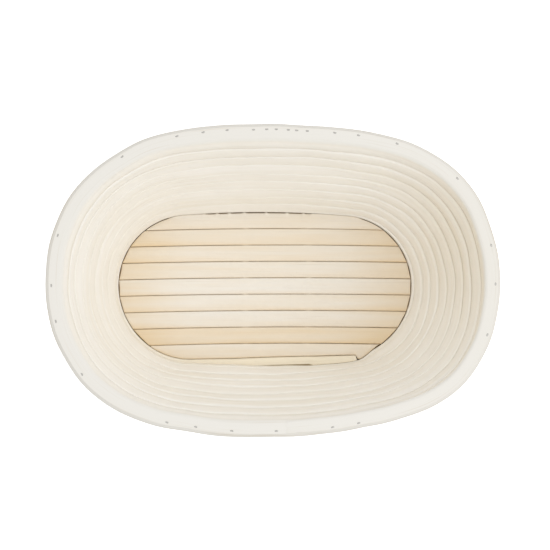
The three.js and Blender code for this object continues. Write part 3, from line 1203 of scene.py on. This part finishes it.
@dataclass
class Brads:
    """The small nails: down through the rim, and level through the first turn into the slats."""

    wall: CaneWall
    head_radius: float = 0.85 * MM
    head_share: float = 0.62
    head_thickness: float = 0.6 * MM
    head_edge: float = 0.22 * MM
    head_steps: int = 3
    proud: float = 0.08 * MM
    shank_radius: float = 0.45 * MM
    point: float = 1.5 * MM
    point_share: float = 0.1
    rim_length: float = 14 * MM
    floor_length: float = 18 * MM
    rim_offset: float = 1.15 * MM
    sunk: float = 0.4 * MM
    sides: int = 24
    crease: float = math.radians(35)
    look_ahead: float = 0.002
    rim_shares: tuple[float, ...] = (
        0.003, 0.045, 0.18, 0.202, 0.249, 0.286, 0.316, 0.34, 0.419, 0.466, 0.495, 0.536, 0.62, 0.668,
        0.69, 0.71, 0.732, 0.743, 0.751, 0.761, 0.768, 0.777, 0.8, 0.82, 0.853, 0.91, 0.971,
    )
    floor_numbers: tuple[int, ...] = (2, 3, 4, 5, 6, 7, 8)
    placed: dict[str, Object] = field(init=False, default_factory=dict)

    def nail(self, length: float) -> Object:
        """Model a nail, its oval head up along +Z with the top at the origin.

        Args:
            length: Length over all.

        Returns:
            The nail.
        """
        clear_selection()
        bpy.ops.mesh.primitive_cylinder_add(
            vertices=self.sides, radius=self.head_radius, depth=self.head_thickness,
            location=(0, 0, -self.head_thickness / 2))
        bpy.ops.object.transform_apply(location=True, rotation=True, scale=True)
        nail = bpy.context.object
        bpy.ops.object.mode_set(mode="EDIT")
        pick(nail, "EDGE", lambda a, b: min(a.z, b.z) > -CLOSE)
        bpy.ops.mesh.bevel(offset=self.head_edge, segments=self.head_steps, affect="EDGES")
        pick(nail, "FACE", lambda middle, normal: normal.z < -SQUARE_ON)
        bpy.ops.mesh.inset(thickness=self.head_radius - self.shank_radius)
        straight = length - self.head_thickness - self.point
        bpy.ops.mesh.extrude_region_move(TRANSFORM_OT_translate={"value": (0, 0, -straight)})
        bpy.ops.mesh.extrude_region_move(TRANSFORM_OT_translate={"value": (0, 0, -self.point)})
        bpy.ops.transform.resize(value=(self.point_share, self.point_share, 1))
        bpy.ops.object.mode_set(mode="OBJECT")
        for vertex in nail.data.vertices:
            in_head = vertex.co.z > -self.head_thickness - CLOSE
            if in_head and vertex.co.xy.length > self.shank_radius + CLOSE / 2:
                vertex.co.y *= self.head_share
        bpy.ops.object.shade_smooth_by_angle(angle=self.crease)
        return nail

    def drive(self, pattern: Object, name: str, head: Vector, up: Vector, along: Vector) -> None:
        """Copy the nail to its place.

        Args:
            pattern: Nail to copy.
            name: Name of the new piece.
            head: Middle of the head's top.
            up: Way that the head faces.
            along: Way of the head's length.
        """
        nail = bpy.data.objects.new(name, pattern.data.copy())
        nail.data.name = name
        bpy.context.scene.collection.objects.link(nail)
        z = up.normalized()
        x = (along - z * along.dot(z)).normalized()
        turn = Matrix((x, z.cross(x), z)).transposed().to_4x4()
        nail.data.transform(Matrix.Translation(head + z * self.proud) @ turn)
        self.placed[name] = nail

    def build(self) -> None:
        """Model one nail of each length and copy it to every place."""
        wall = self.wall
        pattern = self.nail(self.rim_length)
        for number, share in enumerate(self.rim_shares, 1):
            passed = wall.turns - 1 + wall.start + (share - wall.start_share - wall.start) % 1.0
            head = wall.place(passed, self.rim_offset, wall.rim_top)
            below = wall.place(passed - 1, self.rim_offset, wall.rim_top - wall.rise)
            ahead = wall.place(passed + self.look_ahead, self.rim_offset, wall.rim_top)
            self.drive(pattern, f"rim_nail_{number:02d}", head, head - below, ahead - head)
        bpy.data.objects.remove(pattern)
        pattern = self.nail(self.floor_length)
        for label, side in (("left", -1), ("right", 1)):
            for number in self.floor_numbers:
                low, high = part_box(f"floor_brad_{label}_{number}")
                middle = (low + high) / 2
                end = high.x + self.sunk if side > 0 else low.x - self.sunk
                head, up = Vector((end, middle.y, middle.z)), Vector((side, 0, 0))
                self.drive(pattern, f"floor_nail_{label}_{number}", head, up, Vector((0, 1, 0)))
        bpy.data.objects.remove(pattern)

    def dress(self, finish: BradFinish) -> None:
        """Give the nails and the cross wires their finish, and the nails their places on the part."""
        material = finish.make()
        for name, nail in self.placed.items():
            nail.data.materials.append(material)
            hand_over(nail, Slot.BRAD, name.replace("nail", "brad"))
        for node in ("cross_wire_1", "cross_wire_2"):
            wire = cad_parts[node]
            wire.data.materials.clear()
            wire.data.materials.append(material)
            LOG.info("%s: kept from the part with a new finish", node)


@dataclass(frozen=True)
class Lamp:
    """A soft lamp: its place, its side and its power in watts."""

    name: str
    place: tuple[float, float, float]
    side: float
    power: float


@dataclass
class Studio:
    """A white sweep, soft light from above and from the right, and a camera high over the basket."""

    sweep: float = 6.0
    zenith: float = 1.135
    horizon: float = 0.64
    lamps: tuple[Lamp, ...] = (Lamp("soft_key", (0.85, -0.25, 0.95), 0.8, 2.5),)
    aim: tuple[float, float, float] = (0.0025, 0.0038, 0.04)
    camera_place: tuple[float, float, float] = (-0.0540, -0.0301, 0.93)
    lens: float = 120.0
    sensor: float = 36.0

    def build(self) -> None:
        """Set up the sweep, the light and the camera."""
        self.lay_sweep()
        self.light_sky()
        for lamp in self.lamps:
            self.hang(lamp)
        self.stand_camera()

    def lay_sweep(self) -> None:
        """Lay the paper on the table."""
        clear_selection()
        bpy.ops.mesh.primitive_plane_add(size=self.sweep)
        paper = bpy.context.object
        paper.name = "paper_sweep"
        paper.data.materials.append(PaperFinish().make())

    def light_sky(self) -> None:
        """Light everything evenly, and show white where the eye looks past the sweep."""
        world = bpy.data.worlds.new("white_room")
        bpy.context.scene.world = world
        world.use_nodes = True
        tree = world.node_tree
        tree.nodes.clear()
        way = add_node(tree, "TexCoord").outputs["Generated"]
        height = add_node(tree, "SeparateXYZ", inputs={"Vector": way}).outputs["Z"]
        level = add_node(tree, "MapRange", inputs={
            "Value": height, "To Min": self.horizon, "To Max": self.zenith}).outputs["Result"]
        white_light = {"Color": linear("#FFFFFF")}
        light, white = (
            add_node(tree, "Background", inputs={**white_light, "Strength": strength})
            for strength in (level, 1.0))
        both = add_node(tree, "MixShader", inputs={
            0: seen_rays(tree), 1: light.outputs["Background"], 2: white.outputs["Background"]})
        add_node(tree, "OutputWorld", inputs={"Surface": both.outputs["Shader"]})

    def hang(self, lamp: Lamp) -> None:
        """Hang a square soft lamp that faces the basket."""
        data = bpy.data.lights.new(lamp.name, "AREA")
        data.size = lamp.side
        data.energy = lamp.power
        light = bpy.data.objects.new(lamp.name, data)
        bpy.context.scene.collection.objects.link(light)
        light.location = lamp.place
        way = Vector(self.aim) - Vector(lamp.place)
        light.rotation_euler = way.to_track_quat("-Z", "Y").to_euler()

    def stand_camera(self) -> None:
        """Place the camera, with the back of the basket upward in the image."""
        data = bpy.data.cameras.new("overhead_camera")
        data.lens = self.lens
        data.sensor_width = self.sensor
        camera = bpy.data.objects.new("overhead_camera", data)
        bpy.context.scene.collection.objects.link(camera)
        back = (Vector(self.camera_place) - Vector(self.aim)).normalized()
        right = Vector((0, 1, 0)).cross(back).normalized()
        turn = Matrix((right, back.cross(right), back)).transposed().to_4x4()
        camera.matrix_world = Matrix.Translation(self.camera_place) @ turn
        bpy.context.scene.camera = camera
        bpy.context.scene.view_settings.view_transform = "Standard"


def main() -> None:
    """Build the basket's pieces in order, dress them and set up the studio."""
    logging.basicConfig(level=logging.INFO, format="%(name)s: %(message)s")
    wall = CaneWall()
    wall.build()
    wall.dress(CaneFinish())
    floor = SlatFloor(wall)
    floor.build()
    floor.dress(SlatFinish())
    brads = Brads(wall)
    brads.build()
    brads.dress(BradFinish())
    Studio().build()


if __name__ == "__main__":
    main()
